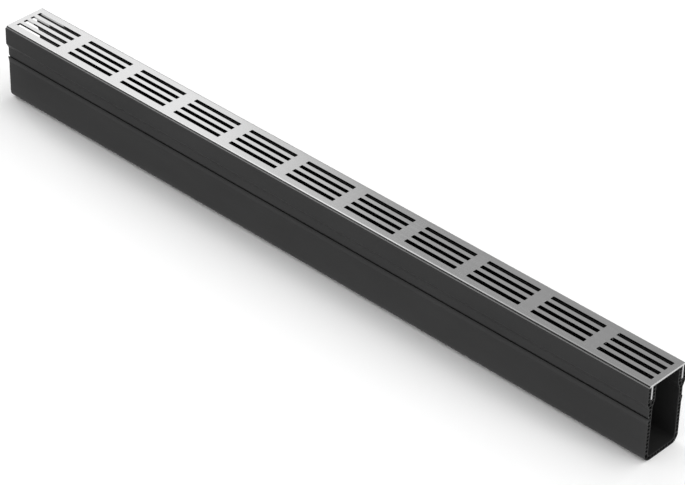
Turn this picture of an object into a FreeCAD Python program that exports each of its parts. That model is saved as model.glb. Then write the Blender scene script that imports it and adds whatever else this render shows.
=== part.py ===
"""Linear shower drain: a hollow-walled channel and the slotted grate that drops into it.

Both pieces are extrusions along X and are drawn in the YZ plane, seen from the end. The channel
stands on its flat base, so Z = 0 is the floor, X = 0 is half way along and Y = 0 is the middle of
the channel. Every outline is drawn for the side where Y is positive and repeated on the other side.
All lengths are millimetres.
"""
import FreeCAD, Part
import math
import os
import Sketcher

SIZES = {
    # both extrusions
    "drain_length": 1000.0,
    # outside of the channel
    "channel_height": 101.0,
    "step_depth": 3.5,
    "step_height": 6.6,
    "base_radius": 10.0,
    "rim_radius": 1.0,
    # hollow walls: the full thickness, the two skins and the webs between the cells
    "wall_thickness": 5.6,
    "skin": 0.9,
    "web": 0.9,
    # how far the chamber in each corner of the base runs past the rounding
    "corner_run": 1.2,
    # the two seats that take the legs of the grate, and the arms beside each
    "seat_width": 3.0,
    "seat_depth": 18.8,
    "outer_arm_width": 4.5,
    "inner_arm_width": 4.8,
    # where the band narrows below the seats
    "seat_to_step": 3.3,
    "truss_drop": 2.7,
    "neck_drop": 2.2,
    # hooked bead along the outside, with the groove behind its lip
    "bead_projection": 1.2,
    "lip_width": 0.4,
    "lip_drop": 1.3,
    "bead_face": 1.5,
    "bead_taper": 7.0,
    "groove_depth": 1.3,
    "groove_height": 2.9,
    # rows of cells
    "arm_cells": 4,
    "wall_cells": 12,
    "floor_cells": 7,
    # grate: the seats and the walls of the channel are placed from its width
    "grate_width": 58.8,
    "plate_thickness": 2.5,
    "plate_overhang": 2.9,
    "edge_radius": 2.0,
    "leg_side_clearance": 0.5,
    "leg_end_clearance": 1.9,
    "root_radius": 0.4,
    # openings of the grate
    "opening_groups": 11,
    "opening_rows": 4,
    "opening_width": 5.7,
    "bar_width": 5.4,
    "bridge_width": 17.2,
    "end_margin": 7.0,
    "opening_corner": 0.8,
}

DIAGONAL = math.sqrt(0.5)
CELLS_ABOVE_BEAD = 2
SAME_PLACE = 0.001
# the most that a rounding takes of the room beside it
ROUNDING_LIMIT = 0.9


class Size:
    """A length worked out from the sheet: its expression for the document and its value."""

    def __init__(self, text, value):
        self.text = text
        self.value = value

    def __add__(self, other):
        other = as_size(other)
        return Size(f"({self.text} + {other.text})", self.value + other.value)

    def __sub__(self, other):
        other = as_size(other)
        return Size(f"({self.text} - {other.text})", self.value - other.value)

    def __mul__(self, other):
        other = as_size(other)
        return Size(f"{self.text} * {other.text}", self.value * other.value)

    def __truediv__(self, other):
        other = as_size(other)
        return Size(f"{self.text} / {other.text}", self.value / other.value)

    def __neg__(self):
        return Size(f"(0 - {self.text})", -self.value)


def as_size(number):
    """A plain number as a Size; a Size stays as it is."""
    if isinstance(number, Size):
        return number
    return Size(repr(float(number)), float(number))


def hypotenuse(one, other):
    """The long side of the right triangle with these two sides."""
    return Size(f"hypot({one.text}; {other.text})", math.hypot(one.value, other.value))


def smaller(one, other):
    """The smaller of two lengths."""
    return Size(f"min({one.text}; {other.text})", min(one.value, other.value))


def make_sheet(document):
    """Writes the driving dimensions into a sheet and returns each as a Size."""
    sheet = document.addObject("Spreadsheet::Sheet", "Sizes")
    sizes = {}
    for row, (name, number) in enumerate(SIZES.items(), start=1):
        sheet.set(f"A{row}", name)
        sheet.set(f"B{row}", str(number))
        sheet.setAlias(f"B{row}", name)
        sizes[name] = Size(f"Sizes.{name}", float(number))
    document.recompute()
    return sizes


class Section:
    """The half widths and levels of the section that more than one outline needs."""

    def __init__(self, size):
        self.half_plate = size["grate_width"] / 2
        self.leg_out = self.half_plate - size["plate_overhang"]
        self.seat_out = self.leg_out + size["leg_side_clearance"]
        self.seat_in = self.seat_out - size["seat_width"]
        self.leg_in = self.seat_in + size["leg_side_clearance"]
        self.seat_middle = (self.seat_out + self.seat_in) / 2
        self.arm_in = self.seat_in - size["inner_arm_width"]
        self.half_band = self.seat_out + size["outer_arm_width"]
        self.half_wall = self.half_band - size["step_depth"]
        self.inner_half = self.half_wall - size["wall_thickness"]
        self.top = size["channel_height"]
        self.seat_floor = self.top - size["seat_depth"]
        self.truss_top = self.seat_floor - size["skin"]
        self.step_top = self.seat_floor - size["seat_to_step"]
        self.step_bottom = self.step_top - size["step_height"]
        self.cells_top = self.step_bottom - size["neck_drop"]
        self.corner_reach = size["base_radius"] + size["corner_run"]
        self.corner_top = self.corner_reach + size["web"]
        self.wall_pitch = (self.cells_top - self.corner_top) / size["wall_cells"]
        self.groove_roof = self.cells_top - self.wall_pitch * CELLS_ABOVE_BEAD + size["web"]
        self.groove_floor = self.groove_roof - size["groove_height"]
        self.groove_in = self.half_wall - size["groove_depth"]
        self.bead_half = self.half_wall + size["bead_projection"]
        self.bead_top = self.groove_roof - size["lip_drop"]
        self.funnel_width = self.inner_half - self.arm_in
        self.funnel_height = self.truss_top - self.step_bottom
        self.step_skin = size["skin"] * hypotenuse(size["step_depth"], size["step_height"]) / size["step_height"]
        self.funnel_skin = size["skin"] * hypotenuse(self.funnel_width, self.funnel_height) / self.funnel_height
        self.step_slope = size["step_depth"] / size["step_height"]
        self.funnel_slope = self.funnel_width / self.funnel_height

    def outside(self, level):
        """Half width of the outside at a level within the step."""
        return self.half_band - (self.step_top - level) * self.step_slope

    def inside(self, level):
        """Half width of the water way at a level within the funnel below the inner arm."""
        return self.arm_in + (self.truss_top - level) * self.funnel_slope


def new_sketch(body, name, role):
    """A sketch on one of the body's own origin planes."""
    sketch = body.newObject("Sketcher::SketchObject", name)
    plane = [feature for feature in body.Origin.OriginFeatures if feature.Role == role][0]
    sketch.AttachmentSupport = [(plane, "")]
    sketch.MapMode = "FlatFace"
    return sketch


def fix_point(sketch, element, end, across, up):
    """Holds one point of the sketch at a place worked out from the sheet."""
    for kind, size in (("DistanceX", across), ("DistanceY", up)):
        index = sketch.addConstraint(Sketcher.Constraint(kind, -1, 1, element, end, size.value))
        sketch.setExpression(f"Constraints[{index}]", size.text)


def draw_outline(sketch, points):
    """A closed outline of straight lines through the points."""
    first = sketch.GeometryCount
    count = len(points)
    corners = [FreeCAD.Vector(across.value, up.value, 0) for across, up in points]
    for index in range(count):
        sketch.addGeometry(Part.LineSegment(corners[index], corners[(index + 1) % count]), False)
    for index in range(count):
        following = first + (index + 1) % count
        sketch.addConstraint(Sketcher.Constraint("Coincident", first + index, 2, following, 1))
    for index, (across, up) in enumerate(points):
        fix_point(sketch, first + index, 1, across, up)


def draw_both_sides(sketch, points):
    """The same closed outline on both sides of the middle."""
    draw_outline(sketch, points)
    draw_outline(sketch, [(-across, up) for across, up in points])


def box_points(low, high, bottom, top):
    """The four corners of an upright rectangle."""
    return [(low, bottom), (high, bottom), (high, top), (low, top)]


def extrude(body, sketch, name, length):
    """Pads a section evenly to both sides of its plane."""
    pad = body.newObject("PartDesign::Pad", name)
    pad.Profile = sketch
    pad.SideType = "Symmetric"
    pad.setExpression("Length", length.text)
    return pad


def bore_through(body, sketch, name):
    """Pockets a section through the whole length."""
    pocket = body.newObject("PartDesign::Pocket", name)
    pocket.Profile = sketch
    pocket.SideType = "Symmetric"
    pocket.Type = "ThroughAll"
    return pocket


def repeat(body, original, name, axis, pitch, count, backwards=False):
    """Repeats a feature along an axis of a sketch or of the body and makes the result the tip."""
    pattern = body.newObject("PartDesign::LinearPattern", name)
    pattern.Originals = [original]
    pattern.Direction = axis
    pattern.Mode = "Spacing"
    pattern.Reversed = backwards
    pattern.setExpression("Offset", pitch.text)
    pattern.setExpression("Occurrences", count.text)
    body.Tip = pattern
    return pattern


def long_edges(shape, points):
    """Names of the edges along X that pass through the given points of the section."""
    names = []
    for number, edge in enumerate(shape.Edges, start=1):
        ends = [vertex.Point for vertex in edge.Vertexes]
        if len(ends) != 2 or abs(ends[0].y - ends[1].y) + abs(ends[0].z - ends[1].z) > SAME_PLACE:
            continue
        for across, up in points:
            if abs(ends[0].y - across.value) + abs(ends[0].z - up.value) < SAME_PLACE:
                names.append(f"Edge{number}")
    return names


def round_edges(body, feature, name, points, radius):
    """Rounds the long edges at these points of the section, on both sides."""
    body.Document.recompute()
    both = points + [(-across, up) for across, up in points]
    names = long_edges(feature.Shape, both)
    if len(names) != len(both):
        raise RuntimeError(f"{name}: {len(names)} edges found for {len(both)} places")
    fillet = body.newObject("PartDesign::Fillet", name)
    fillet.Base = (feature, names)
    fillet.setExpression("Radius", radius.text)
    body.Tip = fillet
    return fillet


def channel_outline(size, cut):
    """One side of the channel's outline, from the base up, over the rim and down to the water way."""
    lip_in = cut.bead_half - size["lip_width"]
    lip_root = lip_in - size["lip_width"]
    bead_low = cut.bead_top - size["bead_face"]
    return [
        (cut.half_wall, as_size(0)),
        (cut.half_wall, bead_low - size["bead_taper"]),
        (cut.bead_half, bead_low),
        (cut.bead_half, cut.bead_top),
        (lip_in, cut.bead_top),
        (lip_root, cut.groove_floor),
        (cut.groove_in, cut.groove_floor),
        (cut.groove_in, cut.groove_roof - size["web"]),
        (cut.half_wall, cut.groove_roof),
        (cut.half_wall, cut.step_bottom),
        (cut.half_band, cut.step_top),
        (cut.half_band, cut.top),
        (cut.seat_out, cut.top),
        (cut.seat_out, cut.seat_floor),
        (cut.seat_in, cut.seat_floor),
        (cut.seat_in, cut.top),
        (cut.arm_in, cut.top),
        (cut.arm_in, cut.truss_top),
        (cut.inner_half, cut.step_bottom),
        (cut.inner_half, size["wall_thickness"]),
    ]


def arm_cells(body, size, cut):
    """The cells in the two arms beside each seat."""
    pitch = (size["seat_depth"] - size["skin"] + size["web"]) / size["arm_cells"]
    roof = cut.top - size["skin"]
    floor = roof - pitch + size["web"]
    sketch = new_sketch(body, "arm_cell_sketch", "YZ_Plane")
    draw_both_sides(sketch, box_points(cut.seat_out + size["skin"], cut.half_band - size["skin"], floor, roof))
    draw_both_sides(sketch, box_points(cut.arm_in + size["skin"], cut.seat_in - size["skin"], floor, roof))
    pocket = bore_through(body, sketch, "arm_cell_pair")
    repeat(body, pocket, "arm_cell_row", (sketch, ["V_Axis"]), pitch, size["arm_cells"], True)


def truss_cells(body, size, cut):
    """Two cells side by side under each seat and one below them, where the band narrows."""
    half_web = size["web"] / 2
    middle = cut.step_top - size["truss_drop"]
    lower_top = middle - size["web"]
    lower_bottom = cut.cells_top + size["web"]
    sketch = new_sketch(body, "truss_sketch", "YZ_Plane")
    draw_both_sides(sketch, [
        (cut.seat_middle + half_web, middle),
        (cut.outside(middle) - cut.step_skin, middle),
        (cut.half_band - size["skin"], cut.step_top),
        (cut.half_band - size["skin"], cut.truss_top),
        (cut.seat_middle + half_web, cut.truss_top),
    ])
    draw_both_sides(sketch, [
        (cut.inside(middle) + cut.funnel_skin, middle),
        (cut.seat_middle - half_web, middle),
        (cut.seat_middle - half_web, cut.truss_top),
        (cut.arm_in + size["skin"], cut.truss_top),
    ])
    draw_both_sides(sketch, [
        (cut.inner_half + size["skin"], lower_bottom),
        (cut.half_wall - size["skin"], lower_bottom),
        (cut.half_wall - size["skin"], cut.step_bottom),
        (cut.outside(lower_top) - cut.step_skin, lower_top),
        (cut.inside(lower_top) + cut.funnel_skin, lower_top),
        (cut.inner_half + size["skin"], cut.step_bottom),
    ])
    bore_through(body, sketch, "truss_cells")


def wall_cells(body, size, cut):
    """The single row of cells down each wall; the one behind the groove is narrower."""
    low = cut.inner_half + size["skin"]
    high = cut.half_wall - size["skin"]
    height = cut.wall_pitch - size["web"]
    above = as_size(CELLS_ABOVE_BEAD)
    below = size["wall_cells"] - above - 1
    roof = cut.cells_top
    upper = new_sketch(body, "upper_cell_sketch", "YZ_Plane")
    draw_both_sides(upper, box_points(low, high, roof - height, roof))
    pocket = bore_through(body, upper, "upper_cell_pair")
    repeat(body, pocket, "upper_cell_row", (upper, ["V_Axis"]), cut.wall_pitch, above, True)
    roof = cut.cells_top - cut.wall_pitch * above
    groove = new_sketch(body, "groove_cell_sketch", "YZ_Plane")
    draw_both_sides(groove, box_points(low, cut.groove_in - size["skin"], roof - height, roof))
    bore_through(body, groove, "groove_cell_pair")
    roof = roof - cut.wall_pitch
    lower = new_sketch(body, "lower_cell_sketch", "YZ_Plane")
    draw_both_sides(lower, box_points(low, high, roof - height, roof))
    pocket = bore_through(body, lower, "lower_cell_pair")
    repeat(body, pocket, "lower_cell_row", (lower, ["V_Axis"]), cut.wall_pitch, below, True)


def floor_cells(body, size, cut):
    """The row of cells across the floor."""
    reach = cut.half_wall - cut.corner_top
    pitch = (reach * 2 + size["web"]) / size["floor_cells"]
    sketch = new_sketch(body, "floor_cell_sketch", "YZ_Plane")
    low = size["skin"]
    high = size["wall_thickness"] - size["skin"]
    draw_outline(sketch, box_points(-reach, pitch - reach - size["web"], low, high))
    pocket = bore_through(body, sketch, "floor_cell")
    repeat(body, pocket, "floor_cell_row", (sketch, ["H_Axis"]), pitch, size["floor_cells"])


def corner_chambers(body, bar, size, cut):
    """Cuts the rounded chamber along each bottom corner of the bar and returns the last feature."""
    reach = cut.corner_reach
    outer = size["skin"]
    inner = size["wall_thickness"] - size["skin"]
    sketch = new_sketch(body, "corner_sketch", "YZ_Plane")
    draw_both_sides(sketch, [
        (cut.half_wall - outer, reach),
        (cut.half_wall - inner, reach),
        (cut.half_wall - inner, inner),
        (cut.half_wall - reach, inner),
        (cut.half_wall - reach, outer),
        (cut.half_wall - outer, outer),
    ])
    chamber = bore_through(body, sketch, "corner_chamber")
    outside = [(cut.half_wall - outer, outer)]
    rounded = round_edges(body, chamber, "chamber_outside_rounding", outside, size["base_radius"] - outer)
    inside = [(cut.half_wall - inner, inner)]
    return round_edges(body, rounded, "chamber_inside_rounding", inside, size["base_radius"] - inner)


def corner_webs(body, size, cut):
    """The web at 45 degrees across each corner chamber."""
    start = size["base_radius"] - (size["base_radius"] - size["skin"] / 2) * DIAGONAL
    inner_radius = size["base_radius"] - size["wall_thickness"] + size["skin"] / 2
    end = size["base_radius"] - inner_radius * DIAGONAL
    side = size["web"] / 2 * DIAGONAL
    sketch = new_sketch(body, "corner_web_sketch", "YZ_Plane")
    draw_both_sides(sketch, [
        (cut.half_wall - start + side, start + side),
        (cut.half_wall - start - side, start - side),
        (cut.half_wall - end - side, end - side),
        (cut.half_wall - end + side, end + side),
    ])
    body.Tip = extrude(body, sketch, "corner_web", size["drain_length"])


def make_channel(document, size, cut):
    """The channel: one extrusion with two skins, webs between them and a seat on each side."""
    body = document.addObject("PartDesign::Body", "channel_body")
    section = new_sketch(body, "channel_section", "YZ_Plane")
    side = channel_outline(size, cut)
    draw_outline(section, side + [(-across, up) for across, up in reversed(side)])
    bar = extrude(body, section, "channel_bar", size["drain_length"])
    hollow = corner_chambers(body, bar, size, cut)
    base = [(cut.half_wall, as_size(0))]
    rounded = round_edges(body, hollow, "base_rounding", base, size["base_radius"])
    foot = [(cut.inner_half, size["wall_thickness"])]
    inner_radius = size["base_radius"] - size["wall_thickness"]
    rounded = round_edges(body, rounded, "water_way_rounding", foot, inner_radius)
    rounded = round_edges(body, rounded, "rim_rounding", [(cut.half_band, cut.top)], size["rim_radius"])
    arm_cells(body, size, cut)
    truss_cells(body, size, cut)
    wall_cells(body, size, cut)
    floor_cells(body, size, cut)
    corner_webs(body, size, cut)
    return body


def grate_outline(size, cut):
    """One side of the grate's outline, from the middle of its top round to the underside."""
    leg_foot = cut.seat_floor + size["leg_end_clearance"]
    return [
        (cut.half_plate, cut.top + size["plate_thickness"]),
        (cut.half_plate, cut.top),
        (cut.leg_out, cut.top),
        (cut.leg_out, leg_foot),
        (cut.leg_in, leg_foot),
        (cut.leg_in, cut.top),
    ]


def rounded_opening(sketch, low, high, bottom, top, radius):
    """A rectangle with rounded corners, its sides tangent to its four corner arcs."""
    def place(across, up):
        return FreeCAD.Vector(across.value, up.value, 0)

    rim = [
        (low + radius, bottom, high - radius, bottom),
        (high, bottom + radius, high, top - radius),
        (high - radius, top, low + radius, top),
        (low, top - radius, low, bottom + radius),
    ]
    middles = [
        (high - radius, bottom + radius, 270),
        (high - radius, top - radius, 0),
        (low + radius, top - radius, 90),
        (low + radius, bottom + radius, 180),
    ]
    for (x1, y1, x2, y2), (across, up, start) in zip(rim, middles):
        sketch.addGeometry(Part.LineSegment(place(x1, y1), place(x2, y2)), False)
        circle = Part.Circle(place(across, up), FreeCAD.Vector(0, 0, 1), radius.value)
        sweep = (math.radians(start), math.radians(start + 90))
        sketch.addGeometry(Part.ArcOfCircle(circle, *sweep), False)
    for corner in range(4):
        line = 2 * corner
        arc = line + 1
        following = (line + 2) % 8
        sketch.addConstraint(Sketcher.Constraint("Tangent", line, 2, arc, 1))
        sketch.addConstraint(Sketcher.Constraint("Tangent", arc, 2, following, 1))
        sketch.addConstraint(Sketcher.Constraint("Vertical" if corner % 2 else "Horizontal", line))
    for corner in range(1, 4):
        sketch.addConstraint(Sketcher.Constraint("Equal", 1, 2 * corner + 1))
    index = sketch.addConstraint(Sketcher.Constraint("Radius", 1, radius.value))
    sketch.setExpression(f"Constraints[{index}]", radius.text)
    fix_point(sketch, 1, 3, middles[0][0], middles[0][1])
    fix_point(sketch, 5, 3, middles[2][0], middles[2][1])


def cut_openings(body, size, cut):
    """Punches the openings: rows side by side, in groups along the plate."""
    group_pitch = (size["drain_length"] - size["end_margin"] * 2 + size["bridge_width"]) / size["opening_groups"]
    row_pitch = size["opening_width"] + size["bar_width"]
    left = size["end_margin"] - size["drain_length"] / 2
    right = left + group_pitch - size["bridge_width"]
    near = -(row_pitch * size["opening_rows"] - size["bar_width"]) / 2
    sketch = new_sketch(body, "opening_sketch", "XY_Plane")
    sketch.setExpression("AttachmentOffset.Base.z", (cut.top + size["plate_thickness"]).text)
    radius = smaller(size["opening_corner"], size["opening_width"] / 2 * ROUNDING_LIMIT)
    rounded_opening(sketch, left, right, near, near + size["opening_width"], radius)
    pocket = body.newObject("PartDesign::Pocket", "opening")
    pocket.Profile = sketch
    pocket.Type = "ThroughAll"
    pattern = repeat(body, pocket, "opening_grid", (sketch, ["H_Axis"]), group_pitch, size["opening_groups"])
    pattern.Direction2 = (sketch, ["V_Axis"])
    pattern.Mode2 = "Extent"
    pattern.setExpression("Length2", (row_pitch * (size["opening_rows"] - 1)).text)
    pattern.setExpression("Occurrences2", size["opening_rows"].text)


def make_grate(document, size, cut):
    """The grate: a slotted plate with a leg down each side, resting on the arms of the channel."""
    body = document.addObject("PartDesign::Body", "grate")
    section = new_sketch(body, "grate_section", "YZ_Plane")
    side = grate_outline(size, cut)
    draw_outline(section, side + [(-across, up) for across, up in reversed(side)])
    bar = extrude(body, section, "grate_bar", size["drain_length"])
    roots = [side[2], side[5]]
    root_radius = smaller(size["root_radius"], size["leg_side_clearance"] * ROUNDING_LIMIT)
    rounded = round_edges(body, bar, "leg_root_rounding", roots, root_radius)
    edge_radius = smaller(size["edge_radius"], size["plate_thickness"] * ROUNDING_LIMIT)
    round_edges(body, rounded, "edge_rounding", [side[0]], edge_radius)
    cut_openings(body, size, cut)
    return body


def check(document, bodies):
    """Stops the script if a feature has failed or a piece is not one sound solid."""
    for item in document.Objects:
        if "Invalid" in item.State or "Error" in item.State:
            raise RuntimeError(f"{item.Name} failed: {item.State}")
    for body in bodies:
        shape = body.Shape
        if shape.isNull() or not shape.isValid() or len(shape.Solids) != 1:
            raise RuntimeError(f"{body.Label} is not one valid solid")


def main():
    document = FreeCAD.newDocument("linear_drain")
    size = make_sheet(document)
    cut = Section(size)
    bodies = [make_channel(document, size, cut), make_grate(document, size, cut)]
    document.recompute()
    check(document, bodies)
    os.makedirs("parts", exist_ok=True)
    for body in bodies:
        body.Shape.exportStep(f"parts/{body.Label}.step")
        box = body.Shape.BoundBox
        print(f"{body.Label}: {box.XLength:.2f} x {box.YLength:.2f} x {box.ZLength:.2f} mm,", end=" ")
        print(f"{body.Shape.Volume / 1000:.1f} cm3, {len(body.Shape.Faces)} faces")


main()
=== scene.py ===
"""Linear shower drain: finishes for the black channel and its slotted aluminium grate, and the studio."""

import math

import bpy
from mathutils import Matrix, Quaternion, Vector


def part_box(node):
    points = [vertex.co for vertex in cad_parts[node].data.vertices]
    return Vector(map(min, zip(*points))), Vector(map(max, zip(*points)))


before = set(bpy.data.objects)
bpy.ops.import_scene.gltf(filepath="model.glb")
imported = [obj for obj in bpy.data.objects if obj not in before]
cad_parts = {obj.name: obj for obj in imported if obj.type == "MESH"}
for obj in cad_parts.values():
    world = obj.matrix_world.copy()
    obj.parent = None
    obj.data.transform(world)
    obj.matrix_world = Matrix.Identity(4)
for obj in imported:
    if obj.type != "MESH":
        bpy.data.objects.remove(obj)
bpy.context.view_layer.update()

bl_info = {
    "name": "Linear Shower Drain",
    "version": (1, 0, 0),
    "blender": (4, 5, 0),
    "location": "3D View > Sidebar > Drain",
    "description": "Dresses the packed channel and grate and sets up the studio round them",
    "category": "Object",
}

MM = 0.001
GRATE_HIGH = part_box("grate")[1]
CHANNEL_LOW, CHANNEL_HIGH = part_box("channel_body")

# distances out from the middle: the wall below the step, its bead, the groove, the trough and the bare ledge
STEP_DEPTH = 3.5 * MM
WALL_THICKNESS = 5.6 * MM
WALL_FACE = CHANNEL_HIGH.y - STEP_DEPTH
TROUGH_FACE = WALL_FACE - WALL_THICKNESS
BEAD_START = (WALL_FACE + 0.05 * MM, WALL_FACE + 0.3 * MM)
GROOVE_REACH = (WALL_FACE - 1.8 * MM, WALL_FACE - 0.1 * MM)
TROUGH_END = (TROUGH_FACE + 0.05 * MM, TROUGH_FACE + 0.2 * MM)
LEDGE_REACH = (GRATE_HIGH.y - 1.0 * MM, CHANNEL_HIGH.y - 0.7 * MM)
# heights: the bead, the lip along the top of the bead, the groove behind the lip, and the rim
BEAD_ZONE = (48 * MM, 65 * MM)
LIP_START = (56.9 * MM, 57.9 * MM)
GROOVE_ZONE = (58.5 * MM, 63 * MM)
RIM_START = (CHANNEL_HIGH.z - 0.6 * MM, CHANNEL_HIGH.z - 0.1 * MM)
# the field of the openings in the plate, across and along, with its soft edge
FIELD_END_ACROSS = (20 * MM, 21 * MM)
FIELD_END_ALONG = (GRATE_HIGH.x - 4 * MM, GRATE_HIGH.x - 3 * MM)
# widths over which a mark fades out inside its limits
ZONE_FADE = 0.5 * MM
GROOVE_FADE = 0.2 * MM
LEDGE_FADE = 0.4 * MM
# limits on the way that a face looks: along the drain where sawn, down, up where flat, level where upright
SAWN_FACING = (0.85, 0.95)
DOWN_FACING = (-0.45, -0.15)
FLAT_FACING = (0.6, 0.95)
UPRIGHT_FACING = (0.1, 0.4)

# noises: features per metre along X, Y and Z, and how many finer layers each has
DIE_LINES = ((1.5, 1400, 1400), 2.0)
PLASTIC_CLOUD = ((9, 30, 30), 4.0)
PLASTIC_GRAIN = ((2600, 2600, 2600), 2.0)
DRAWN_LINES = ((2.0, 1800, 1800), 2.0)
METAL_CLOUD = ((7, 25, 25), 4.0)
# a noise stays mostly between these
NOISE_RANGE = (0.3, 0.7)

# the plastic: how far its tone and roughness sway with the noises, its relief and its gloss
PLASTIC_CLOUD_SWAY = 0.06
DIE_LINE_SWAY = 0.05
PLASTIC_ROUGHNESS_SWAY = 0.05
DIE_LINE_SHARE = 0.6
PLASTIC_BUMP = 0.4
PLASTIC_BUMP_HEIGHT = 0.02 * MM
PLASTIC_IOR = 1.5
PLASTIC_SPECULAR = 0.12
# factors on its colour, all painted: light on the bead, groove and undersides, shade on the lip, sawn ends
# and trough
BEAD_PAINTED_LIGHT = 1.11
LIP_PAINTED_SHADE = 0.85
GROOVE_PAINTED_LIGHT = 2.0
UNDERSIDE_PAINTED_LIGHT = 1.11
SAWN_PAINTED_SHADE = 0.76
TROUGH_PAINTED_SHADE = 0.74

# the aluminium in the same way, the painted shade on its sawn ends and opening walls, and how much rougher
# or smoother its sawn and punched faces are
METAL_CLOUD_SWAY = 0.015
DRAWN_LINE_SWAY = 0.03
METAL_ROUGHNESS_SWAY = 0.06
METAL_BUMP = 0.3
METAL_BUMP_HEIGHT = 0.01 * MM
SAWN_METAL_SHADE = 0.70
PUNCHED_SHADE = 0.52
SAWN_ROUGHER = 0.15
PUNCHED_SMOOTHER = 0.13

PAPER_COLOR = (0.98, 0.98, 0.98, 1.0)
# the floor lies this far below the base, so that no two faces share a plane
FLOOR_DROP = 0.1 * MM

# the cards overhead: half their width, the graded card's length and where on it the far level is reached,
# and the far edge of the strip and its drop below the graded card
CARD_REACH = 2.5
CARD_LENGTH = 3.0
CARD_FAR_PLACE = 1.0
STRIP_EDGE = 0.33
STRIP_DROP = 1 * MM
# levels of the cards at places along the drain
STRIP_LEVELS = ((-0.5, 1.0), (-0.25, 1.0), (0.05, 0.55), (0.3, 0.36))
FRONT_LEVELS = ((0.0, 1.15), (0.36, 0.30))
BACK_LEVELS = ((-0.46, 0.08), (-0.15, 0.165))
BACK_LEVEL_END = 0.15
# heights over the plate where the front card is dark and where it is bright, and the tops of both edge cards
FRONT_DARK = 4.9 * MM
FRONT_BRIGHT = 16.4 * MM
FRONT_BRIGHT_LEVEL = 1.4
FRONT_TOP = 30 * MM
BACK_TOP = 3.4 * MM
# how far the edge cards pass the left end, stop short of the right end, and stand off the floor
EDGE_PASS = 12 * MM
EDGE_SHORT = 2 * MM
EDGE_LIFT = 1 * MM

# the camera's sensor in millimetres, the photograph's width in pixels, and how far the camera sees
SENSOR_WIDTH = 36.0
PHOTO_WIDTH = 685
SIGHT = 100.0


class DrainFinish(bpy.types.PropertyGroup):
    """Colours and surface of the two extrusions."""

    plastic_color: bpy.props.FloatVectorProperty(
        name="Plastic", description="Colour of the black extruded plastic", subtype="COLOR", size=3,
        min=0.0, max=1.0, default=(0.027, 0.027, 0.0271))
    # a pale painted highlight on the rim's flat ledge
    ledge_highlight_color: bpy.props.FloatVectorProperty(
        name="Ledge highlight", description="Colour of the painted highlight on the rim's flat ledge",
        subtype="COLOR", size=3, min=0.0, max=1.0, default=(0.22, 0.22, 0.22))
    plastic_roughness: bpy.props.FloatProperty(
        name="Plastic roughness", description="Roughness of the extruded skin", subtype="FACTOR",
        min=0.0, max=1.0, default=0.48)
    metal_color: bpy.props.FloatVectorProperty(
        name="Aluminium", description="Colour of the satin aluminium", subtype="COLOR", size=3,
        min=0.0, max=1.0, default=(0.775, 0.775, 0.775))
    metal_roughness: bpy.props.FloatProperty(
        name="Aluminium roughness", description="Roughness of the satin face", subtype="FACTOR",
        min=0.0, max=1.0, default=0.20)


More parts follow.
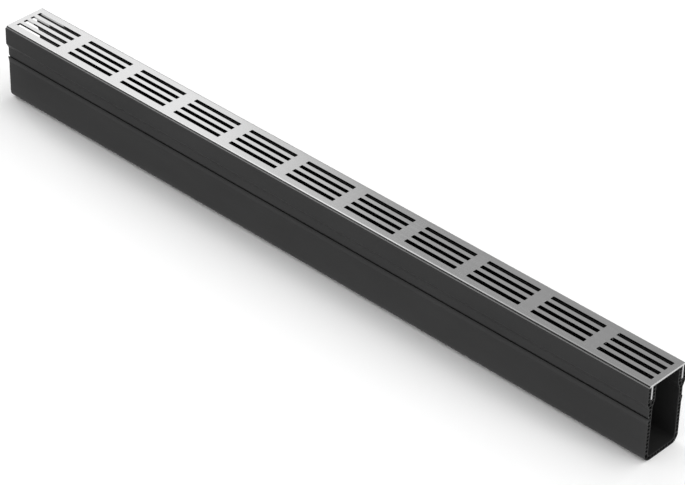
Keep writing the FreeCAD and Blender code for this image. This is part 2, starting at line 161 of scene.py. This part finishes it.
class DrainStudio(bpy.types.PropertyGroup):
    """Camera, lamps, floor and the cards that the metal mirrors."""

    focal_pixels: bpy.props.FloatProperty(
        name="Focal length", description="Focal length of the photograph, in its own pixels",
        min=100.0, default=3054.8)
    azimuth: bpy.props.FloatProperty(
        name="Azimuth", description="Direction of the camera round the drain", subtype="ANGLE",
        default=math.radians(42.922))
    elevation: bpy.props.FloatProperty(
        name="Elevation", description="Height of the camera above the horizon", subtype="ANGLE",
        default=math.radians(35.425))
    roll: bpy.props.FloatProperty(
        name="Roll", description="Tilt of the picture", subtype="ANGLE", default=math.radians(1.273))
    distance: bpy.props.FloatProperty(
        name="Distance", description="From the camera to the point on the floor that it looks at",
        subtype="DISTANCE", min=0.1, default=3.5188)
    aim: bpy.props.FloatVectorProperty(
        name="Aim", description="Point on the floor in the middle of the picture", subtype="TRANSLATION",
        size=3, default=(0.0008, 0.0376, 0.0))
    ambient_level: bpy.props.FloatProperty(
        name="Dome light", description="Even light from all round", min=0.0, default=0.74)
    top_level: bpy.props.FloatProperty(
        name="Top light", description="Light from nearly overhead", min=0.0, default=0.162)
    top_lean: bpy.props.FloatProperty(
        name="Top lean", description="Lean of the top light towards the right end", subtype="ANGLE",
        default=math.radians(10))
    right_level: bpy.props.FloatProperty(
        name="Right light", description="Light from the right end of the drain", min=0.0, default=0.30)
    left_level: bpy.props.FloatProperty(
        name="Left light", description="Light from the left end of the drain", min=0.0, default=0.30)
    side_lean: bpy.props.FloatProperty(
        name="Side lean", description="Lean of the right and left lights towards their ends",
        subtype="ANGLE", default=math.radians(70))
    light_tilt: bpy.props.FloatProperty(
        name="Light tilt", description="Lean of the three lights towards the back", subtype="ANGLE",
        default=math.radians(10))
    light_spread: bpy.props.FloatProperty(
        name="Light spread", description="Angle across each of the three lights", subtype="ANGLE",
        default=math.radians(24))
    fill_level: bpy.props.FloatProperty(
        name="Fill light", description="Light on each long wall from the low light before it",
        min=0.0, default=0.78)
    fill_height: bpy.props.FloatProperty(
        name="Fill height", description="Height of the fill lights above the horizon", subtype="ANGLE",
        default=math.radians(2.5))
    fill_spread: bpy.props.FloatProperty(
        name="Fill spread", description="Angle across each fill light", subtype="ANGLE",
        default=math.radians(5))
    card_height: bpy.props.FloatProperty(
        name="Card height", description="Height of the graded card over the floor", subtype="DISTANCE",
        min=0.2, default=0.6)
    card_start: bpy.props.FloatProperty(
        name="Card start", description="Where the graded card starts to darken", subtype="DISTANCE",
        default=-0.22)
    card_fade: bpy.props.FloatProperty(
        name="Card fade", description="Width over which the card darkens", subtype="DISTANCE",
        min=0.01, default=0.31)
    card_turn: bpy.props.FloatProperty(
        name="Card turn", description="Angle of the card's edge to the drain", subtype="ANGLE",
        default=math.radians(41))
    card_near: bpy.props.FloatProperty(
        name="Card level", description="Level of the card once it is dark", min=0.0, default=0.39)
    card_far: bpy.props.FloatProperty(
        name="Card far level", description="Level of the card a metre on", min=0.0, default=0.29)
    edge_gap: bpy.props.FloatProperty(
        name="Edge card gap", subtype="DISTANCE", min=0.001, default=0.004,
        description="From the channel to the cards that the edges of the plate mirror")
    front_tone: bpy.props.FloatProperty(
        name="Front card level", description="Level of the dark part of the front card", min=0.0,
        default=0.05)
    back_tone: bpy.props.FloatProperty(
        name="Back card level", description="Level of the card behind the far edge, at the right end",
        min=0.0, default=0.33)
    floor_reach: bpy.props.FloatProperty(
        name="Floor reach", description="From the middle of the floor to its sides", subtype="DISTANCE",
        min=1.0, default=30.0)


class Nodes:
    """A material's node tree, with short calls to add and wire nodes."""

    def __init__(self, name):
        self.material = bpy.data.materials.new(name)
        self.material.use_nodes = True
        self.tree = self.material.node_tree
        self.tree.nodes.clear()
        self.output = self.add("ShaderNodeOutputMaterial")

    def add(self, kind, inputs=None, **settings):
        """Adds a node, sets its properties and fills or wires its inputs."""
        node = self.tree.nodes.new(kind)
        for name, value in settings.items():
            setattr(node, name, value)
        for key, value in (inputs or {}).items():
            if isinstance(value, bpy.types.NodeSocket):
                self.tree.links.new(value, node.inputs[key])
            else:
                node.inputs[key].default_value = value
        return node

    def on_object(self, kind):
        """Object gives the position on the object in metres, and Normal the way that its surface faces."""
        return self.add("ShaderNodeTexCoord").outputs[kind]

    def split(self, kind):
        """The same as on_object, with its X, Y and Z apart."""
        return self.add("ShaderNodeSeparateXYZ", {"Vector": self.on_object(kind)}).outputs

    def noise(self, scale, layers):
        """Noise on the object's own position; scale is features per metre along X, Y and Z."""
        mapping = self.add("ShaderNodeMapping", {"Vector": self.on_object("Object"), "Scale": scale})
        inputs = {"Vector": mapping.outputs["Vector"], "Scale": 1.0, "Detail": layers}
        return self.add("ShaderNodeTexNoise", inputs).outputs["Fac"]

    def span(self, value, low, high, start=0.0, end=1.0):
        """Maps a value from one range to another, held at both ends."""
        inputs = {"Value": value, "From Min": low, "From Max": high, "To Min": start, "To Max": end}
        return self.add("ShaderNodeMapRange", inputs).outputs["Result"]

    def rise(self, value, limits):
        """0 up to the first limit, and 1 from the second on."""
        return self.span(value, *limits)

    def fall(self, value, limits):
        """1 up to the first limit, and 0 from the second on."""
        return self.span(value, *limits, 1.0, 0.0)

    def inside(self, value, limits, fade=ZONE_FADE):
        """1 between two limits, fading out just inside them, and 0 beyond."""
        low, high = limits
        return self.overlap(self.rise(value, (low, low + fade)), self.fall(value, (high - fade, high)))

    def sway(self, noise, middle, reach):
        """A value that follows a noise, from the reach below the middle to the reach above it."""
        return self.span(noise, *NOISE_RANGE, middle - reach, middle + reach)

    def math(self, operation, one, other):
        """Adds a Math node and gives its result."""
        return self.add("ShaderNodeMath", {0: one, 1: other}, operation=operation).outputs[0]

    def unsigned(self, value):
        """The value without its sign."""
        return self.math("ABSOLUTE", value, 0.0)

    def overlap(self, mask, *others):
        """1 only where every mask is 1."""
        for other in others:
            mask = self.math("MULTIPLY", mask, other)
        return mask

    def tone(self, color, factor):
        """The colour times a factor."""
        return self.add("ShaderNodeVectorMath", {0: color, 1: factor}, operation="MULTIPLY").outputs[0]

    def tint(self, color, marks):
        """The colour times each mark's factor, where that mark's mask is 1."""
        for mask, factor in marks:
            excess = self.math("MULTIPLY", mask, self.math("SUBTRACT", factor, 1.0))
            color = self.tone(color, self.math("ADD", excess, 1.0))
        return color

    def mix(self, mask, one, other):
        """The first colour where the mask is 0, and the other where it is 1."""
        return self.add("ShaderNodeMix", {"Factor": mask, 6: one, 7: other}, data_type="RGBA").outputs[2]

    def surface(self, shader):
        """Wires the shader to the output and gives the finished material."""
        self.tree.links.new(shader, self.output.inputs["Surface"])
        return self.material


def plastic(finish):
    """Black extruded plastic with faint die lines, painted light and shade on parts of the channel, and a
    painted highlight on the ledge.
    """
    nodes = Nodes("black_pvc")
    lines = nodes.noise(*DIE_LINES)
    cloud = nodes.noise(*PLASTIC_CLOUD)
    grain = nodes.noise(*PLASTIC_GRAIN)
    color = nodes.tone(tuple(finish.plastic_color), nodes.sway(cloud, 1.0, PLASTIC_CLOUD_SWAY))
    color = nodes.tone(color, nodes.sway(lines, 1.0, DIE_LINE_SWAY))
    color = nodes.tint(color, channel_marks(nodes))
    # painted highlight on the rim's flat ledge
    color = nodes.mix(painted_ledge_highlight(nodes), color, tuple(finish.ledge_highlight_color) + (1.0,))
    roughness = nodes.sway(lines, finish.plastic_roughness, PLASTIC_ROUGHNESS_SWAY)
    relief = nodes.math("ADD", nodes.math("MULTIPLY", lines, DIE_LINE_SHARE),
                        nodes.math("MULTIPLY", grain, 1.0 - DIE_LINE_SHARE))
    bump = nodes.add("ShaderNodeBump",
                     {"Strength": PLASTIC_BUMP, "Distance": PLASTIC_BUMP_HEIGHT, "Height": relief})
    inputs = {"Base Color": color, "Roughness": roughness, "IOR": PLASTIC_IOR,
              "Specular IOR Level": PLASTIC_SPECULAR, "Normal": bump.outputs["Normal"]}
    return nodes.surface(nodes.add("ShaderNodeBsdfPrincipled", inputs).outputs["BSDF"])


def channel_marks(nodes):
    """Masks on the channel with factors on the plastic's colour: painted light on the bead, groove and
    undersides, painted shade on the lip, sawn ends and trough.
    """
    place = nodes.split("Object")
    facing = nodes.split("Normal")
    out = nodes.unsigned(place["Y"])
    endways = nodes.unsigned(facing["X"])
    bead = nodes.overlap(nodes.rise(out, BEAD_START), nodes.inside(place["Z"], BEAD_ZONE))
    # painted light on the bead's face, and painted shade along the lip above it
    bead_light_and_shade = nodes.span(place["Z"], *LIP_START, BEAD_PAINTED_LIGHT, LIP_PAINTED_SHADE)
    # painted light that lifts the shade inside the groove
    groove = nodes.overlap(nodes.inside(out, GROOVE_REACH, GROOVE_FADE),
                           nodes.inside(place["Z"], GROOVE_ZONE))
    # painted light on faces that look down
    underside = nodes.fall(facing["Z"], DOWN_FACING)
    # painted shade on the sawn ends
    sawn = nodes.rise(endways, SAWN_FACING)
    # painted shade inside the trough
    trough = nodes.overlap(nodes.fall(out, TROUGH_END), nodes.fall(endways, SAWN_FACING))
    return ((bead, bead_light_and_shade), (groove, GROOVE_PAINTED_LIGHT), (underside, UNDERSIDE_PAINTED_LIGHT), (sawn, SAWN_PAINTED_SHADE),
            (trough, TROUGH_PAINTED_SHADE))


def painted_ledge_highlight(nodes):
    """Mask of the rim's flat ledge beside the grate, where a pale painted highlight goes."""
    place = nodes.split("Object")
    ledge = nodes.inside(nodes.unsigned(place["Y"]), LEDGE_REACH, LEDGE_FADE)
    flat = nodes.rise(nodes.split("Normal")["Z"], FLAT_FACING)
    return nodes.overlap(ledge, nodes.rise(place["Z"], RIM_START), flat)


def satin_metal(finish):
    """Satin aluminium with fine lines along its length, duller where sawn, with painted shade on its sawn
    ends and opening walls.
    """
    nodes = Nodes("satin_aluminium")
    lines = nodes.noise(*DRAWN_LINES)
    cloud = nodes.noise(*METAL_CLOUD)
    sawn = nodes.rise(nodes.unsigned(nodes.split("Normal")["X"]), SAWN_FACING)
    punched = punched_walls(nodes)
    color = nodes.tone(tuple(finish.metal_color), nodes.sway(cloud, 1.0, METAL_CLOUD_SWAY))
    color = nodes.tone(color, nodes.sway(lines, 1.0, DRAWN_LINE_SWAY))
    # painted shade on the sawn ends and on the walls of the openings
    color = nodes.tint(color, ((sawn, SAWN_METAL_SHADE), (punched, PUNCHED_SHADE)))
    roughness = nodes.sway(lines, finish.metal_roughness, METAL_ROUGHNESS_SWAY)
    roughness = nodes.math("ADD", roughness, nodes.math("MULTIPLY", sawn, SAWN_ROUGHER))
    roughness = nodes.math("SUBTRACT", roughness, nodes.math("MULTIPLY", punched, PUNCHED_SMOOTHER))
    bump = nodes.add("ShaderNodeBump",
                     {"Strength": METAL_BUMP, "Distance": METAL_BUMP_HEIGHT, "Height": lines})
    inputs = {"Base Color": color, "Metallic": 1.0, "Roughness": roughness, "Normal": bump.outputs["Normal"]}
    return nodes.surface(nodes.add("ShaderNodeBsdfPrincipled", inputs).outputs["BSDF"])


def punched_walls(nodes):
    """Mask of the upright walls of the openings, away from the plate's sides and ends."""
    place = nodes.split("Object")
    upright = nodes.fall(nodes.unsigned(nodes.split("Normal")["Z"]), UPRIGHT_FACING)
    across = nodes.fall(nodes.unsigned(place["Y"]), FIELD_END_ACROSS)
    along = nodes.fall(nodes.unsigned(place["X"]), FIELD_END_ALONG)
    return nodes.overlap(upright, across, along)


def floor_paper():
    """Matt white paper."""
    nodes = Nodes("studio_paper")
    return nodes.surface(nodes.add("ShaderNodeBsdfDiffuse", {"Color": PAPER_COLOR}).outputs["BSDF"])


def card_paint(name, along, upward=None):
    """A card that glows; along and upward list (place, level) on its X and Z, and their levels multiply."""
    nodes = Nodes(name)
    place = nodes.split("Object")
    strength = grade(nodes, place["X"], along)
    if upward:
        strength = nodes.math("MULTIPLY", strength, grade(nodes, place["Z"], upward))
    return nodes.surface(nodes.add("ShaderNodeEmission", {"Strength": strength}).outputs["Emission"])


def grade(nodes, place, levels):
    """A level that follows straight lines through the listed places, and is held at both ends."""
    total = levels[0][1]
    for (low, before), (high, after) in zip(levels, levels[1:]):
        total = nodes.math("ADD", nodes.span(place, low, high, 0.0, after - before), total)
    return total


def flat_panel(name, corners, material):
    """A flat four-cornered stage piece."""
    mesh = bpy.data.meshes.new(name)
    mesh.from_pydata(corners, [], [(0, 1, 2, 3)])
    panel = bpy.data.objects.new(name, mesh)
    bpy.context.scene.collection.objects.link(panel)
    mesh.materials.append(material)
    return panel


def level_panel(name, along, across, height, material):
    """A level stage piece; along and across are its two limits on X and on Y."""
    left, right = along
    near, far = across
    corners = [(left, near, height), (right, near, height), (right, far, height), (left, far, height)]
    return flat_panel(name, corners, material)


def upright_card(name, across, top, material):
    """A card that stands along the channel, for one edge of the plate to mirror."""
    left = CHANNEL_LOW.x - EDGE_PASS
    right = CHANNEL_HIGH.x - EDGE_SHORT
    corners = [(left, across, EDGE_LIFT), (right, across, EDGE_LIFT), (right, across, top),
               (left, across, top)]
    return flat_panel(name, corners, material)


def seen_in_reflections_only(panel):
    """Keeps a card out of the picture, of the shadows and of the soft light."""
    panel.visible_camera = False
    panel.visible_diffuse = False
    panel.visible_shadow = False
    panel.visible_transmission = False
    panel.visible_volume_scatter = False


def sun(name, level, spread, direction):
    """A soft light from a direction; level is the light on a wall that faces it, where 1 is white."""
    lamp = bpy.data.lights.new(name, "SUN")
    lamp.energy = level * math.pi
    lamp.angle = spread
    item = bpy.data.objects.new(name, lamp)
    item.rotation_mode = "QUATERNION"
    item.rotation_quaternion = Vector(direction).to_track_quat("Z", "Y")
    item.visible_glossy = False
    bpy.context.scene.collection.objects.link(item)


class DRAIN_OT_dress_channel(bpy.types.Operator):
    """Gives the channel its black plastic"""

    bl_idname = "drain.dress_channel"
    bl_label = "Dress channel"

    def execute(self, context):
        material = plastic(context.scene.drain_finish)
        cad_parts["channel_body"].material_slots[0].material = material
        return {"FINISHED"}


class DRAIN_OT_dress_grate(bpy.types.Operator):
    """Gives the grate its satin aluminium"""

    bl_idname = "drain.dress_grate"
    bl_label = "Dress grate"

    def execute(self, context):
        material = satin_metal(context.scene.drain_finish)
        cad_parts["grate"].material_slots[0].material = material
        return {"FINISHED"}


class DRAIN_OT_build_studio(bpy.types.Operator):
    """Sets up the floor, the lights, the cards and the camera"""

    bl_idname = "drain.build_studio"
    bl_label = "Build studio"

    def execute(self, context):
        studio = context.scene.drain_studio
        build_floor(studio)
        build_lights(studio)
        build_cards(studio)
        build_world(studio)
        build_camera(studio)
        context.scene.view_settings.view_transform = "Standard"
        return {"FINISHED"}


def build_floor(studio):
    """The pale floor, square and wide enough to fill every view."""
    reach = (-studio.floor_reach, studio.floor_reach)
    level_panel("floor", reach, reach, -FLOOR_DROP, floor_paper())


def build_lights(studio):
    """Three soft lights, one from overhead and one from each end, and a low one before each long wall."""
    back = math.sin(studio.light_tilt)
    rest = math.cos(studio.light_tilt)
    for name, level, lean in (("top_light", studio.top_level, studio.top_lean),
                              ("right_light", studio.right_level, studio.side_lean),
                              ("left_light", studio.left_level, -studio.side_lean)):
        sun(name, level, studio.light_spread, (math.sin(lean) * rest, back, math.cos(lean) * rest))
    for name, way in (("front_fill", -1), ("back_fill", 1)):
        low = (0, way * math.cos(studio.fill_height), math.sin(studio.fill_height))
        sun(name, studio.fill_level, studio.fill_spread, low)


def build_cards(studio):
    """The graded card and the strip overhead that the plate mirrors, and a card beside each of its edges."""
    start = studio.card_start
    levels = ((start, 1.0), (start + studio.card_fade, studio.card_near),
              (start + CARD_FAR_PLACE, studio.card_far))
    overhead = level_panel("overhead_card", (start, start + CARD_LENGTH), (-CARD_REACH, CARD_REACH),
                           studio.card_height, card_paint("overhead_grey", levels))
    overhead.rotation_euler.z = studio.card_turn
    strip = level_panel("overhead_strip", (-CARD_REACH, CARD_REACH), (-CARD_REACH, STRIP_EDGE),
                        studio.card_height - STRIP_DROP, card_paint("strip_grey", STRIP_LEVELS))
    top = GRATE_HIGH.z
    upward = ((top + FRONT_DARK, studio.front_tone), (top + FRONT_BRIGHT, FRONT_BRIGHT_LEVEL))
    front = upright_card("front_card", CHANNEL_LOW.y - studio.edge_gap, top + FRONT_TOP,
                         card_paint("front_grey", FRONT_LEVELS, upward))
    back_levels = BACK_LEVELS + ((BACK_LEVEL_END, studio.back_tone),)
    back = upright_card("back_card", CHANNEL_HIGH.y + studio.edge_gap, top + BACK_TOP,
                        card_paint("back_grey", back_levels))
    for card in (overhead, strip, front, back):
        seen_in_reflections_only(card)


def build_world(studio):
    """White where the camera or a mirror looks past the floor, and an even soft light for the rest."""
    world = bpy.data.worlds.new("studio_world")
    bpy.context.scene.world = world
    world.use_nodes = True
    tree = world.node_tree
    tree.nodes.clear()
    path = tree.nodes.new("ShaderNodeLightPath")
    seen = tree.nodes.new("ShaderNodeMath")
    seen.operation = "ADD"
    tree.links.new(path.outputs["Is Camera Ray"], seen.inputs[0])
    tree.links.new(path.outputs["Is Glossy Ray"], seen.inputs[1])
    either = tree.nodes.new("ShaderNodeMath")
    either.operation = "ADD"
    either.use_clamp = True
    tree.links.new(seen.outputs[0], either.inputs[0])
    tree.links.new(path.outputs["Is Transmission Ray"], either.inputs[1])
    level = tree.nodes.new("ShaderNodeMapRange")
    tree.links.new(either.outputs[0], level.inputs["Value"])
    level.inputs["To Min"].default_value = studio.ambient_level
    level.inputs["To Max"].default_value = 1.0
    background = tree.nodes.new("ShaderNodeBackground")
    background.inputs["Color"].default_value = (1.0, 1.0, 1.0, 1.0)
    tree.links.new(level.outputs["Result"], background.inputs["Strength"])
    output = tree.nodes.new("ShaderNodeOutputWorld")
    tree.links.new(background.outputs["Background"], output.inputs["Surface"])


def build_camera(studio):
    """The photograph's camera, turned a little about its own axis as the picture is."""
    lens = bpy.data.cameras.new("photo_camera")
    lens.sensor_width = SENSOR_WIDTH
    lens.lens = studio.focal_pixels * SENSOR_WIDTH / PHOTO_WIDTH
    lens.clip_end = SIGHT
    camera = bpy.data.objects.new("photo_camera", lens)
    level = math.cos(studio.elevation)
    back = Vector((math.sin(studio.azimuth) * level, -math.cos(studio.azimuth) * level,
                   math.sin(studio.elevation)))
    camera.rotation_mode = "QUATERNION"
    camera.rotation_quaternion = back.to_track_quat("Z", "Y") @ Quaternion((0, 0, 1), studio.roll)
    camera.location = Vector(studio.aim) + back * studio.distance
    bpy.context.scene.collection.objects.link(camera)
    bpy.context.scene.camera = camera


class DRAIN_PT_panel(bpy.types.Panel):
    """Lists the drain's pieces, finishes and studio"""

    bl_idname = "DRAIN_PT_panel"
    bl_label = "Linear Shower Drain"
    bl_space_type = "VIEW_3D"
    bl_region_type = "UI"
    bl_category = "Drain"

    def draw(self, context):
        layout = self.layout
        for operator in (DRAIN_OT_dress_channel, DRAIN_OT_dress_grate, DRAIN_OT_build_studio):
            layout.operator(operator.bl_idname)
        for group in (context.scene.drain_finish, context.scene.drain_studio):
            column = layout.column()
            for name in type(group).__annotations__:
                column.prop(group, name)


CLASSES = (DrainFinish, DrainStudio, DRAIN_OT_dress_channel, DRAIN_OT_dress_grate, DRAIN_OT_build_studio,
           DRAIN_PT_panel)


def register():
    """Registers the classes and gives each scene its finish and studio settings."""
    for item in CLASSES:
        bpy.utils.register_class(item)
    bpy.types.Scene.drain_finish = bpy.props.PointerProperty(type=DrainFinish)
    bpy.types.Scene.drain_studio = bpy.props.PointerProperty(type=DrainStudio)


def unregister():
    """Takes the settings and the classes away again."""
    del bpy.types.Scene.drain_studio
    del bpy.types.Scene.drain_finish
    for item in reversed(CLASSES):
        bpy.utils.unregister_class(item)


def main():
    """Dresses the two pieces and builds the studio."""
    register()
    bpy.ops.drain.dress_channel()
    bpy.ops.drain.dress_grate()
    bpy.ops.drain.build_studio()


if __name__ == "__main__":
    main()
